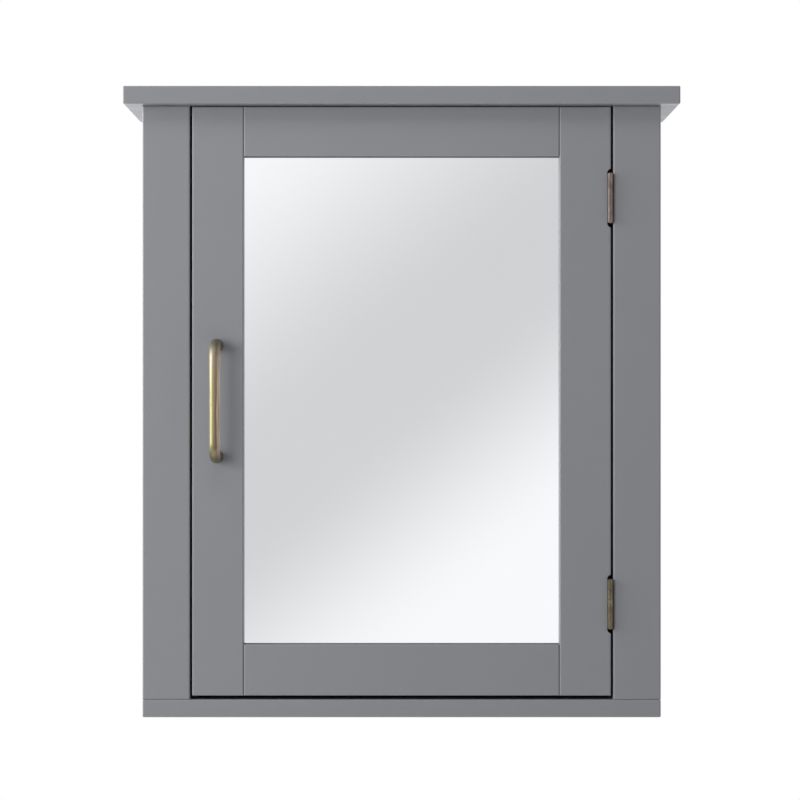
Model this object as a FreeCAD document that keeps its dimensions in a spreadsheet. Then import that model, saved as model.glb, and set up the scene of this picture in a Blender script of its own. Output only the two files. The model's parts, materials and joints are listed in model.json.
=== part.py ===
"""Hanging wall cabinet with one inset mirrored door, in millimetres.

+X is the viewer's right, -Y the front, +Y the wall, +Z up. The origin is on the wall, midway
between the two wall fixings, so every height is measured from the line of those fixings.
The carcass is a cap, a bottom board, two side panels, two face stiles, a back panel and a
hanging rail. The door is a rebated frame that holds the mirror, and it swings on two butt hinges.
"""
import FreeCAD, Part
import math
import os

import Sketcher
from FreeCAD import Placement, Rotation, Vector

doc = FreeCAD.newDocument("hanging_wall_cabinet")

# ---------------------------------------------------------------- driving dimensions

DRIVING_DIMENSIONS = {
    # overall
    "overall_height": 635,
    "body_width": 523,
    "body_depth": 162,
    "cap_overhang": 18,
    # boards
    "board": 18,
    "side_board": 15,
    "shelf_board": 15,
    "back_board": 5,
    "back_rebate": 7,
    "back_slack": 0.5,
    "eased_edge": 1.5,
    "face_stile_width": 48,
    "rail_height": 70,
    # wall fixings
    "fixing_spacing": 406.4,
    "fixing_radius": 3,
    # door
    "door_gap_side": 2.2,
    "door_gap_top": 0.8,
    "door_gap_foot": 3.8,
    "door_member": 52,
    "door_top_rail": 50.6,
    "joint_groove": 1.5,
    "rebate_width": 8,
    "rebate_depth": 10,
    "mirror_slack": 0.5,
    "mirror_thickness": 4,
    # shelves
    "shelf_slack": 1,
    "shelf_setback": 10,
    "pin_pitch": 32,
    "pin_rows": 11,
    "shelf_row": 3,
    "pin_radius": 2.5,
    "pin_depth": 8,
    "pin_reach": 8,
    "pin_end_room": 0.3,
    "pin_collar_radius": 3.6,
    "pin_collar_room": 0.1,
    "pin_column_rear": 37,
    "pin_column_front": 104,
    # joinery
    "joint_slack": 0.05,
    "dowel_radius": 4,
    "slim_dowel_radius": 3,
    "cap_dowel_up": 12,
    "cap_dowel_down": 18,
    "stile_dowel_length": 24,
    "stile_dowel_inset": 60,
    "rail_dowel_length": 18,
    "rail_dowel_offset": 17,
    "door_dowel_length": 30,
    "door_dowel_outer": 13,
    "door_dowel_inner": 33,
    "joint_rear": 34,
    "joint_front": 114,
    "dowel_rear": 58,
    "dowel_front": 90,
    "cam_radius": 7.5,
    "cam_depth": 12,
    "cam_drop": 24,
    "cam_bolt_radius": 2.5,
    "cam_bolt_head_radius": 3.5,
    "cam_channel_radius": 3.9,
    "cam_bolt_grip": 11,
    "cam_bolt_head_height": 3,
    "cam_bolt_overrun": 1,
    "cam_slot_width": 1.2,
    "cam_slot_length": 9,
    "cam_slot_depth": 1.5,
    "cam_cover_radius": 8.5,
    "cam_cover_thickness": 1.5,
    # screws
    "screw_radius": 1.5,
    "screw_head_radius": 2.8,
    "screw_head_height": 1.2,
    "screw_length": 14,
    "long_screw_radius": 2,
    "long_screw_head_radius": 4,
    "long_screw_head_height": 2.4,
    "long_screw_length": 45,
    "clip_screw_radius": 1.3,
    "clip_screw_head_radius": 2.6,
    "clip_screw_head_height": 1.6,
    "clip_screw_length": 8,
    "handle_screw_radius": 1.9,
    "handle_screw_head_radius": 3.8,
    "handle_screw_head_height": 2.4,
    "handle_screw_length": 30,
    "recess_width": 0.9,
    "recess_depth": 0.7,
    "recess_share": 0.62,
    "back_screw_inset": 14,
    # hinges
    "hinge_inset": 92.5,
    "hinge_offset": 3,
    "hinge_proud": 1.5,
    "knuckle_radius": 3,
    "knuckle_count": 5,
    "knuckle_gap": 0.2,
    "barrel_length": 49.6,
    "pin_core_radius": 1.5,
    "pin_clearance": 0.05,
    "pin_cap_radius": 2.3,
    "pin_cap_height": 0.5,
    "leaf_thickness": 1.2,
    "leaf_start": 3.3,
    "leaf_tab_start": 1.9,
    "leaf_reach": 16.5,
    "leaf_screw_pitch": 16,
    "leaf_screw_back": 10,
    "barrel_room": 0.4,
    "notch_height": 51.4,
    "notch_back_room": 0.3,
    # magnetic catch
    "catch_inset": 53.8,
    "catch_length": 30,
    "catch_flange": 9,
    "catch_flange_thickness": 2.5,
    "catch_height": 13,
    "catch_depth": 14,
    "catch_wall": 1.5,
    "pole_thickness": 1.2,
    "pole_proud": 0.8,
    "catch_air_gap": 0.2,
    "strike_length": 38,
    "strike_height": 11,
    "strike_thickness": 1.2,
    "strike_drop": 0.5,
    # mirror clips
    "clip_length": 16,
    "clip_width": 12,
    "clip_thickness": 1.2,
    "clip_overlap": 7,
    "clip_screw_back": 4.6,
    "clip_spread": 187,
    "end_clip_spread": 88,
    # handle
    "handle_inset": 24.6,
    "handle_centres": 112,
    "handle_reach": 28,
    "handle_rod_radius": 5.5,
    "handle_bend": 13,
    "handle_foot_radius": 6.7,
    "handle_foot_height": 5,
    "handle_tap_depth": 14,
}

sheet = doc.addObject("Spreadsheet::Sheet", "dims")
for row, (alias, value) in enumerate(DRIVING_DIMENSIONS.items(), start=1):
    sheet.set(f"A{row}", alias)
    sheet.set(f"B{row}", str(value))
    sheet.setAlias(f"B{row}", alias)
doc.recompute()

# ---------------------------------------------------------------- derived places, as expressions

UNDER_CAP = "(dims.rail_height / 2)"
FOOT = f"({UNDER_CAP} + dims.board - dims.overall_height)"
FLOOR = f"({FOOT} + dims.board)"
INSIDE_HEIGHT = f"({UNDER_CAP} - {FLOOR})"
MID_HEIGHT = f"(({UNDER_CAP} + {FLOOR}) / 2)"

HALF_BODY = "(dims.body_width / 2)"
HALF_INSIDE = f"({HALF_BODY} - dims.side_board)"
HALF_OPENING = f"({HALF_BODY} - dims.face_stile_width)"
PANEL_MIDDLE = f"({HALF_BODY} - dims.side_board / 2)"

FACE = "(-dims.body_depth)"
FACE_BACK = "(dims.board - dims.body_depth)"
BACK_FRONT = "(-dims.back_board)"
RAIL_MIDDLE = "(-dims.back_board - dims.board / 2)"
BOARD_MIDDLE_Y = "(dims.board / 2 - dims.body_depth)"

HALF_DOOR = f"({HALF_OPENING} - dims.door_gap_side)"
DOOR_TOP = f"({UNDER_CAP} - dims.door_gap_top)"
DOOR_FOOT = f"({FLOOR} + dims.door_gap_foot)"
DOOR_HEIGHT = f"({DOOR_TOP} - {DOOR_FOOT})"
DOOR_MIDDLE = f"(({DOOR_TOP} + {DOOR_FOOT}) / 2)"
HALF_SIGHT = f"({HALF_DOOR} - dims.door_member)"
HALF_REBATE = f"({HALF_SIGHT} + dims.rebate_width)"
SIGHT_TOP = f"({DOOR_TOP} - dims.door_top_rail)"
SIGHT_FOOT = f"({DOOR_FOOT} + dims.door_member)"
REBATE_TOP = f"({SIGHT_TOP} + dims.rebate_width)"
REBATE_FOOT = f"({SIGHT_FOOT} - dims.rebate_width)"
REBATE_FRONT = f"({FACE_BACK} - dims.rebate_depth)"

HINGE_X = f"({HALF_OPENING} - dims.hinge_offset)"
HINGE_Y = f"({FACE} - dims.hinge_proud)"
HINGE_HEIGHTS = {
    "upper": f"({DOOR_TOP} - dims.hinge_inset)",
    "lower": f"({DOOR_FOOT} + dims.hinge_inset)",
}
CATCH_X = f"(dims.catch_inset - {HALF_DOOR})"
CATCH_FRONT = f"({FACE_BACK} + dims.strike_thickness + dims.catch_air_gap)"
CATCH_MIDDLE_Z = f"({UNDER_CAP} - dims.catch_height / 2)"
HANDLE_X = f"(dims.handle_inset - {HALF_DOOR})"
SHELF_HEIGHTS = {
    "upper": f"({MID_HEIGHT} + dims.shelf_row * dims.pin_pitch)",
    "lower": f"({MID_HEIGHT} - dims.shelf_row * dims.pin_pitch)",
}
HANDS = {"left": -1, "right": 1}
DIRECTIONS = {
    "+X": Vector(1, 0, 0), "-X": Vector(-1, 0, 0),
    "+Y": Vector(0, 1, 0), "-Y": Vector(0, -1, 0),
    "+Z": Vector(0, 0, 1), "-Z": Vector(0, 0, -1),
}
TOUCH = 0.01  # two places closer than this are the same place
board_corners = {}  # each body's placement expressions, by its name
sub_parts = []

# ---------------------------------------------------------------- helpers: placing and listing


def turned(direction):
    """The rotation that turns local +Z to a named direction."""
    return Rotation(DIRECTIONS["+Z"], DIRECTIONS[direction])


def put(thing, at, direction="+Z"):
    """Place an object at three expressions, with its local +Z along a named direction."""
    thing.Placement = Placement(Vector(), turned(direction))
    for letter, expression in zip("xyz", at):
        thing.setExpression(f"Placement.Base.{letter}", str(expression))
    return thing


def size(thing, **expressions):
    """Bind properties to expressions."""
    for name, expression in expressions.items():
        thing.setExpression(name, str(expression))
    return thing


def sub_part(thing, label):
    """Name a finished piece and list it for export."""
    thing.Label = label
    sub_parts.append(thing)
    return thing


# ---------------------------------------------------------------- helpers: plain solids


def block(name, at, extent):
    """A box from its low corner and its extent along X, Y and Z."""
    solid = doc.addObject("Part::Box", name)
    size(solid, Length=extent[0], Width=extent[1], Height=extent[2])
    return put(solid, at)


def rod(name, at, radius, length, direction="+Z"):
    """A cylinder that starts at a point and runs along a direction."""
    solid = doc.addObject("Part::Cylinder", name)
    size(solid, Radius=radius, Height=length)
    return put(solid, at, direction)


def taper(name, at, radii, length, direction="+Z"):
    """A cone frustum that starts at a point with the first radius."""
    solid = doc.addObject("Part::Cone", name)
    size(solid, Radius1=radii[0], Radius2=radii[1], Height=length)
    return put(solid, at, direction)


def fused(name, pieces):
    solid = doc.addObject("Part::MultiFuse", name)
    solid.Shapes = pieces
    solid.Refine = True
    return solid


def cut(name, base, tool):
    solid = doc.addObject("Part::Cut", name)
    solid.Base = base
    solid.Tool = tool
    return solid


def chamfered(name, base, amount, top=True, foot=True):
    """Take the sharp rim off one or both ends of an upright cylinder."""
    solid = doc.addObject("Part::Chamfer", name)
    solid.Base = base
    doc.recompute()
    middle = base.Shape.CenterOfMass.z
    rims = [number for number, edge in enumerate(base.Shape.Edges, start=1) if edge.isClosed()
            and (top if edge.CenterOfMass.z > middle else foot)]
    bevel = float(base.evalExpression(amount))
    solid.Edges = [(number, bevel, bevel) for number in rims]
    return solid


def group(label, pattern, places):
    """Separate copies of one fastener: each place is three expressions and a direction."""
    copies = []
    for number, (at, direction) in enumerate(places, start=1):
        copy = doc.addObject("App::Link", f"{label}_{number}")
        copy.LinkedObject = pattern
        copies.append(put(copy, at, direction))
    compound = doc.addObject("Part::Compound", label)
    compound.Links = copies
    return sub_part(compound, label)


# ---------------------------------------------------------------- helpers: boards as bodies


def origin_feature(body, role):
    return next(feature for feature in body.Origin.OriginFeatures if feature.Role == role)


def sketch_on(body, role, name):
    sketch = body.newObject("Sketcher::SketchObject", name)
    sketch.AttachmentSupport = [(origin_feature(body, role), "")]
    sketch.MapMode = "FlatFace"
    return sketch


def measured(sketch, kind, *where, to):
    """Add a dimensional constraint at an expression's value and bind it to the expression."""
    value = float(sketch.evalExpression(str(to)))
    number = sketch.addConstraint(Sketcher.Constraint(kind, *where, value))
    sketch.setExpression(f"Constraints[{number}]", str(to))


def rectangle(sketch, across, up):
    """A rectangle with its first corner on the sketch's origin."""
    corners = [Vector(0, 0, 0), Vector(1, 0, 0), Vector(1, 1, 0), Vector(0, 1, 0)]
    for start, end in zip(corners, corners[1:] + corners[:1]):
        sketch.addGeometry(Part.LineSegment(start, end), False)
    for side, kind in enumerate(("Horizontal", "Vertical", "Horizontal", "Vertical")):
        sketch.addConstraint(Sketcher.Constraint(kind, side))
        sketch.addConstraint(Sketcher.Constraint("Coincident", side, 2, (side + 1) % 4, 1))
    sketch.addConstraint(Sketcher.Constraint("Coincident", 0, 1, -1, 1))
    measured(sketch, "DistanceX", 0, 1, 0, 2, to=across)
    measured(sketch, "DistanceY", 1, 1, 1, 2, to=up)


def board(label, at, extent, ease=None, ease_size="dims.eased_edge"):
    """A board from its low corner and extent; ease picks the edges that are rounded over."""
    body = doc.addObject("PartDesign::Body", label)
    outline = sketch_on(body, "XY_Plane", f"{label}_outline")
    rectangle(outline, extent[0], extent[1])
    pad = body.newObject("PartDesign::Pad", f"{label}_pad")
    pad.Profile = outline
    size(pad, Length=extent[2])
    board_corners[body.Name] = at
    put(body, at)
    doc.recompute()
    if ease:
        box = pad.Shape.BoundBox
        names = [f"Edge{number}" for number, edge in enumerate(pad.Shape.Edges, start=1)
                 if ease(edge.CenterOfMass, box)]
        rounding = body.newObject("PartDesign::Fillet", f"{label}_easing")
        rounding.Base = (pad, names)
        size(rounding, Radius=ease_size)
    return sub_part(body, label)


def inside_body(body, at):
    """Turn a place in the cabinet into the same place measured from a body's own corner."""
    corner = board_corners[body.Name]
    return [f"({place}) - ({start})" for place, start in zip(at, corner)]


def drill(body, at, radius, depth, direction):
    """A round hole that starts at a place in the cabinet and goes along a direction."""
    hole = body.newObject("PartDesign::SubtractiveCylinder", f"{body.Name}_hole")
    size(hole, Radius=radius, Height=depth)
    return put(hole, inside_body(body, at), direction)


def countersink(body, at, radii, depth, direction):
    """A conical seat for a screw's head, widest at the given place."""
    seat = body.newObject("PartDesign::SubtractiveCone", f"{body.Name}_seat")
    size(seat, Radius1=radii[0], Radius2=radii[1], Height=depth)
    return put(seat, inside_body(body, at), direction)


def mill(body, at, extent):
    """A square-cornered recess from its low corner and extent."""
    recess = body.newObject("PartDesign::SubtractiveBox", f"{body.Name}_recess")
    size(recess, Length=extent[0], Width=extent[1], Height=extent[2])
    return put(recess, inside_body(body, at))


def on_front(middle, box):
    return middle.y < box.YMin + TOUCH


def on_any_shown_side(middle, box):
    """The edges of a board that overhangs or closes the cabinet, apart from those on the wall."""
    return middle.y < box.YMax - TOUCH and not (
        abs(middle.y - (box.YMin + box.YMax) / 2) < TOUCH
        and box.XMin + TOUCH < middle.x < box.XMax - TOUCH)


# ---------------------------------------------------------------- fastener patterns


def screw_pattern(name, radius, head_radius, head_height, length, countersunk):
    """A screw whose head's seat is at local z = 0 and whose shank runs down.

    A countersunk head is flush with its seat, and a pan head stands on it.
    """
    if countersunk:
        head = taper(f"{name}_head", (0, 0, 0), (head_radius, radius), head_height, "-Z")
        top = "0"
    else:
        disc = rod(f"{name}_disc", (0, 0, 0), head_radius, head_height)
        head = chamfered(f"{name}_head", disc, f"{head_height} / 2", foot=False)
        top = head_height
    tip_length = f"({radius} * 1.5)"
    shank = rod(f"{name}_shank", (0, 0, 0), radius, f"{length} - {tip_length}", "-Z")
    tip = taper(f"{name}_tip", (0, 0, f"{tip_length} - {length}"), (radius, f"{radius} / 3"),
                tip_length, "-Z")
    whole = fused(f"{name}_whole", [head, shank, tip])
    arm = f"({head_radius} * dims.recess_share)"
    slots = []
    for turn, (across, up) in enumerate(((arm, "dims.recess_width / 2"),
                                         ("dims.recess_width / 2", arm))):
        slots.append(block(f"{name}_slot_{turn}",
                           (f"-{across}", f"-{up}", f"{top} - dims.recess_depth"),
                           (f"2 * {across}", f"2 * {up}", "2 * dims.recess_depth")))
    return cut(name, whole, fused(f"{name}_recess", slots))


def dowel_pattern(name, radius, length):
    """A wooden dowel with chamfered ends, centred on its middle."""
    core = rod(f"{name}_core", (0, 0, f"-{length} / 2"), radius, length)
    return chamfered(name, core, f"{radius} / 5")


wood_screw = screw_pattern("wood_screw", "dims.screw_radius", "dims.screw_head_radius",
                           "dims.screw_head_height", "dims.screw_length", countersunk=True)
long_screw = screw_pattern("long_screw", "dims.long_screw_radius", "dims.long_screw_head_radius",
                           "dims.long_screw_head_height", "dims.long_screw_length",
                           countersunk=True)
clip_screw = screw_pattern("clip_screw", "dims.clip_screw_radius", "dims.clip_screw_head_radius",
                           "dims.clip_screw_head_height", "dims.clip_screw_length",
                           countersunk=False)
handle_screw = screw_pattern("handle_screw", "dims.handle_screw_radius",
                             "dims.handle_screw_head_radius", "dims.handle_screw_head_height",
                             "dims.handle_screw_length", countersunk=False)
WOOD_SCREW_HOLE = "(dims.screw_radius + dims.joint_slack)"
WOOD_SCREW_SEAT = ("(dims.screw_head_radius + dims.joint_slack)", WOOD_SCREW_HOLE)
DOWEL_HOLE = "(dims.dowel_radius + dims.joint_slack)"
SLIM_DOWEL_HOLE = "(dims.slim_dowel_radius + dims.joint_slack)"

# ---------------------------------------------------------------- where the joints are

PANEL_JOINT_YS = ("(-dims.joint_rear)", "(-dims.joint_front)")
PANEL_DOWEL_YS = ("(-dims.dowel_rear)", "(-dims.dowel_front)")
RAIL_DOWEL_ZS = ("dims.rail_dowel_offset", "(-dims.rail_dowel_offset)")
STILE_DOWEL_ZS = (f"({UNDER_CAP} - dims.stile_dowel_inset)", MID_HEIGHT,
                  f"({FLOOR} + dims.stile_dowel_inset)")
BACK_SCREW_ZS = ("0", f"({MID_HEIGHT} / 2 + dims.back_screw_inset)",
                 f"({MID_HEIGHT} + {FLOOR}) / 2", f"({FLOOR} + dims.back_screw_inset)")
BACK_SCREW_X = f"({HALF_INSIDE} + dims.back_rebate / 2)"


def both_sides(x):
    """An X and its mirror image, left first."""
    return [f"({sign} * {x})" for sign in HANDS.values()]


def at_panels(ys, z):
    return [(x, y, z) for x in both_sides(PANEL_MIDDLE) for y in ys]


# ---------------------------------------------------------------- carcass


def top_cap():
    cap = board("top_cap",
                (f"(-{HALF_BODY} - dims.cap_overhang)", f"({FACE} - dims.cap_overhang)", UNDER_CAP),
                ("dims.body_width + 2 * dims.cap_overhang",
                 "dims.body_depth + dims.cap_overhang", "dims.board"),
                ease=on_any_shown_side)
    for place in at_panels(PANEL_JOINT_YS, UNDER_CAP):
        drill(cap, place, "dims.cam_bolt_radius + dims.joint_slack", "dims.cam_bolt_grip", "+Z")
    for place in at_panels(PANEL_DOWEL_YS, UNDER_CAP):
        drill(cap, place, DOWEL_HOLE, "dims.cap_dowel_up", "+Z")
    for x in catch_screw_xs():
        drill(cap, (x, catch_screw_y(), UNDER_CAP), WOOD_SCREW_HOLE, "dims.screw_length", "+Z")


def bottom_board():
    bottom = board("bottom_board", (f"(-{HALF_BODY})", FACE, FOOT),
                   ("dims.body_width", "dims.body_depth", "dims.board"), ease=on_any_shown_side)
    for place in at_panels(PANEL_JOINT_YS, FOOT):
        drill(bottom, place, "dims.long_screw_radius + dims.joint_slack", "dims.board", "+Z")
        countersink(bottom, place,
                    ("dims.long_screw_head_radius + dims.joint_slack",
                     "dims.long_screw_radius + dims.joint_slack"),
                    "dims.long_screw_head_height", "+Z")
    for place in at_panels(PANEL_DOWEL_YS, FLOOR):
        drill(bottom, place, DOWEL_HOLE, "dims.cap_dowel_up", "-Z")


def side_panel(side, sign):
    """A side: rebated for the back, drilled for the joints and for the shelf pins."""
    inward = "-X" if sign < 0 else "+X"
    inner_face = f"({sign} * {HALF_INSIDE})"
    middle = f"({sign} * {PANEL_MIDDLE})"
    left_edge = f"(-{HALF_BODY})" if sign < 0 else HALF_INSIDE
    panel = board(f"side_panel_{side}", (left_edge, FACE_BACK, FLOOR),
                  ("dims.side_board", "dims.body_depth - dims.board", INSIDE_HEIGHT))
    rebate_edge = f"(-{HALF_INSIDE} - dims.back_rebate)" if sign < 0 else HALF_INSIDE
    mill(panel, (rebate_edge, BACK_FRONT, FLOOR),
         ("dims.back_rebate", "dims.back_board", INSIDE_HEIGHT))
    for y in PANEL_JOINT_YS:
        cam_height = f"({UNDER_CAP} - dims.cam_drop)"
        drill(panel, (inner_face, y, cam_height), "dims.cam_radius + dims.joint_slack",
              "dims.cam_depth", inward)
        drill(panel, (middle, y, UNDER_CAP), "dims.cam_channel_radius", "dims.cam_drop", "-Z")
        drill(panel, (middle, y, FLOOR), "dims.long_screw_radius + dims.joint_slack",
              "dims.long_screw_length - dims.board", "+Z")
    for y in PANEL_DOWEL_YS:
        drill(panel, (middle, y, UNDER_CAP), DOWEL_HOLE, "dims.cap_dowel_down", "-Z")
        drill(panel, (middle, y, FLOOR), DOWEL_HOLE, "dims.cap_dowel_down", "+Z")
    for z in STILE_DOWEL_ZS:
        drill(panel, (middle, FACE_BACK, z), SLIM_DOWEL_HOLE,
              "dims.stile_dowel_length / 2 + dims.joint_slack", "+Y")
    for z in RAIL_DOWEL_ZS:
        drill(panel, (inner_face, RAIL_MIDDLE, z), DOWEL_HOLE,
              "dims.rail_dowel_length / 2 + dims.joint_slack", inward)
    for z in BACK_SCREW_ZS:
        drill(panel, (f"({sign} * {BACK_SCREW_X})", BACK_FRONT, z), WOOD_SCREW_HOLE,
              "dims.screw_length - dims.back_board", "-Y")
    shelf_pin_holes(panel, sign)


def shelf_pin_holes(panel, sign):
    """Two columns of holes in a side's inner face, one pocket repeated up the panel."""
    sketch = sketch_on(panel, "YZ_Plane", f"{panel.Name}_pin_sketch")
    for number, column in enumerate(("dims.pin_column_rear", "dims.pin_column_front")):
        circle = Part.Circle(Vector(1 + number, 1, 0), DIRECTIONS["+Z"], 1)
        sketch.addGeometry(circle, False)
        measured(sketch, "Radius", number, to="dims.pin_radius + dims.joint_slack")
        measured(sketch, "DistanceX", -1, 1, number, 3, to=f"-{column} - {FACE_BACK}")
        measured(sketch, "DistanceY", -1, 1, number, 3,
                 to=f"{MID_HEIGHT} - {FLOOR} - dims.pin_pitch * (dims.pin_rows - 1) / 2")
    if sign < 0:
        sketch.setExpression("AttachmentOffset.Base.z", "dims.side_board - dims.pin_depth")
    doc.recompute()
    before = panel.Shape.Volume
    pocket = panel.newObject("PartDesign::Pocket", f"{panel.Name}_pin_holes")
    pocket.Profile = sketch
    pocket.Reversed = True
    size(pocket, Length="dims.pin_depth")
    rows = panel.newObject("PartDesign::LinearPattern", f"{panel.Name}_pin_rows")
    rows.Originals = [pocket]
    rows.Direction = (origin_feature(panel, "Z_Axis"), [""])
    size(rows, Length="dims.pin_pitch * (dims.pin_rows - 1)", Occurrences="dims.pin_rows")
    panel.Tip = rows
    doc.recompute()
    if panel.Shape.Volume > before - 1:
        raise RuntimeError(f"the shelf pin holes cut nothing from {panel.Label}")


def face_stile(side, sign):
    """An upright of the face, glued and dowelled to the front edge of its side panel."""
    left_edge = f"(-{HALF_BODY})" if sign < 0 else HALF_OPENING
    stile = board(f"face_stile_{side}", (left_edge, FACE, FLOOR),
                  ("dims.face_stile_width", "dims.board", INSIDE_HEIGHT), ease=on_front)
    for z in STILE_DOWEL_ZS:
        drill(stile, (f"({sign} * {PANEL_MIDDLE})", FACE_BACK, z), SLIM_DOWEL_HOLE,
              "dims.stile_dowel_length / 2 + dims.joint_slack", "-Y")
    if sign > 0:
        for z in HINGE_HEIGHTS.values():
            barrel_room(stile, z)
            for screw in leaf_screw_heights(z):
                drill(stile, (HALF_OPENING, leaf_screw_y(), screw), WOOD_SCREW_HOLE,
                      "dims.screw_length - dims.leaf_thickness", "+X")


def back_panel():
    panel = board("back_panel",
                  (f"(dims.back_slack - {HALF_INSIDE} - dims.back_rebate)", BACK_FRONT, FLOOR),
                  (f"2 * ({HALF_INSIDE} + dims.back_rebate - dims.back_slack)",
                   "dims.back_board", INSIDE_HEIGHT))
    for x in both_sides("dims.fixing_spacing / 2"):
        drill(panel, (x, "0", "0"), "dims.fixing_radius", "dims.back_board", "-Y")
    for x in both_sides(BACK_SCREW_X):
        for z in BACK_SCREW_ZS:
            drill(panel, (x, "0", z), WOOD_SCREW_HOLE, "dims.back_board", "-Y")
            countersink(panel, (x, "0", z), WOOD_SCREW_SEAT, "dims.screw_head_height", "-Y")


def hanging_rail():
    rail = board("hanging_rail",
                 (f"(-{HALF_INSIDE})", f"({BACK_FRONT} - dims.board)", "(-dims.rail_height / 2)"),
                 (f"2 * {HALF_INSIDE}", "dims.board", "dims.rail_height"))
    for x in both_sides("dims.fixing_spacing / 2"):
        drill(rail, (x, BACK_FRONT, "0"), "dims.fixing_radius", "dims.board", "-Y")
    for sign, direction in ((-1, "+X"), (1, "-X")):
        for z in RAIL_DOWEL_ZS:
            drill(rail, (f"({sign} * {HALF_INSIDE})", RAIL_MIDDLE, z), DOWEL_HOLE,
                  "dims.rail_dowel_length / 2 + dims.joint_slack", direction)


def shelf(name, pin_height):
    """A loose shelf that lies on four pins."""
    board(f"shelf_{name}",
          (f"(dims.shelf_slack - {HALF_INSIDE})", f"({FACE_BACK} + dims.shelf_setback)",
           f"({pin_height} + dims.pin_radius)"),
          (f"2 * ({HALF_INSIDE} - dims.shelf_slack)",
           f"{BACK_FRONT} - {FACE_BACK} - dims.shelf_setback - dims.shelf_slack",
           "dims.shelf_board"), ease=on_front)


def shelf_pins():
    """Steel pegs: half sits in the panel, a collar meets its face and half holds the shelf."""
    peg = rod("peg", ("0", "0", "dims.pin_end_room - dims.pin_depth"), "dims.pin_radius",
              "dims.pin_depth + dims.pin_reach - dims.pin_end_room")
    collar = rod("collar", ("0", "0", "0"), "dims.pin_collar_radius",
                 "dims.shelf_slack - dims.pin_collar_room")
    pin = fused("shelf_pin", [peg, collar])
    group("shelf_pins", pin, [
        ((f"({sign} * {HALF_INSIDE})", f"(-{column})", height), "+X" if sign < 0 else "-X")
        for sign in HANDS.values()
        for column in ("dims.pin_column_rear", "dims.pin_column_front")
        for height in SHELF_HEIGHTS.values()])


def carcass_fasteners():
    cap_dowel = dowel_pattern("cap_dowel", "dims.dowel_radius",
                              "(dims.cap_dowel_up + dims.cap_dowel_down)")
    half_shift = "(dims.cap_dowel_down - dims.cap_dowel_up) / 2"
    group("cap_dowels", cap_dowel,
          [(at, "+Z") for at in at_panels(PANEL_DOWEL_YS, f"{UNDER_CAP} - {half_shift}")])
    group("bottom_dowels", cap_dowel,
          [(at, "+Z") for at in at_panels(PANEL_DOWEL_YS, f"{FLOOR} + {half_shift}")])
    group("bottom_screws", long_screw, [(at, "-Z") for at in at_panels(PANEL_JOINT_YS, FOOT)])

    slim_dowel = dowel_pattern("slim_dowel", "dims.slim_dowel_radius", "dims.stile_dowel_length")
    group("stile_dowels", slim_dowel, [((x, FACE_BACK, z), "+Y")
                                       for x in both_sides(PANEL_MIDDLE) for z in STILE_DOWEL_ZS])
    rail_dowel = dowel_pattern("rail_dowel", "dims.dowel_radius", "dims.rail_dowel_length")
    group("rail_dowels", rail_dowel, [((x, RAIL_MIDDLE, z), "+X")
                                      for x in both_sides(HALF_INSIDE) for z in RAIL_DOWEL_ZS])
    group("back_panel_screws", wood_screw, [((x, "0", z), "+Y")
                                            for x in both_sides(BACK_SCREW_X)
                                            for z in BACK_SCREW_ZS])


def cam_joints():
    """Bolts screwed into the cap, which eccentric cams in the side panels pull down."""
    thread = rod("cam_bolt_thread", ("0", "0", "0"), "dims.cam_bolt_radius", "dims.cam_bolt_grip")
    shank = rod("cam_bolt_shank", ("0", "0", "0"), "dims.cam_bolt_radius", "dims.cam_drop", "-Z")
    head = rod("cam_bolt_head", ("0", "0", "-dims.cam_drop - dims.cam_bolt_overrun"),
               "dims.cam_bolt_head_radius", "dims.cam_bolt_head_height")
    bolt = fused("cam_bolt", [thread, shank, head])
    group("cam_bolts", bolt, [(at, "+Z") for at in at_panels(PANEL_JOINT_YS, UNDER_CAP)])

    # a cam's local +Z points into the panel, and its local X is upright
    drum = rod("cam_drum", ("0", "0", "0"), "dims.cam_radius", "dims.cam_depth")
    hollow = rod("cam_hollow", ("-dims.cam_radius", "0", "dims.side_board / 2"),
                 "dims.cam_channel_radius", "2 * dims.cam_radius", "+X")
    slot = block("cam_slot", ("-dims.cam_slot_length / 2", "-dims.cam_slot_width / 2", "0"),
                 ("dims.cam_slot_length", "dims.cam_slot_width", "dims.cam_slot_depth"))
    cam = cut("cam", drum, fused("cam_openings", [hollow, slot]))
    cam_height = f"({UNDER_CAP} - dims.cam_drop)"
    places = [((f"({sign} * {HALF_INSIDE})", y, cam_height), "-X" if sign < 0 else "+X")
              for sign in HANDS.values() for y in PANEL_JOINT_YS]
    group("cam_locks", cam, places)
    disc = rod("cam_disc", ("0", "0", "-dims.cam_cover_thickness"), "dims.cam_cover_radius",
               "dims.cam_cover_thickness")
    cover = chamfered("cam_cover", disc, "dims.cam_cover_thickness / 3", top=False)
    group("cam_covers", cover, places)


# ---------------------------------------------------------------- magnetic catch


def catch_screw_xs():
    reach = "(dims.catch_length / 2 + dims.catch_flange / 2)"
    return (f"({CATCH_X} - {reach})", f"({CATCH_X} + {reach})")


def catch_screw_y():
    return f"({CATCH_FRONT} + dims.pole_proud + dims.catch_depth / 2)"


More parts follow.
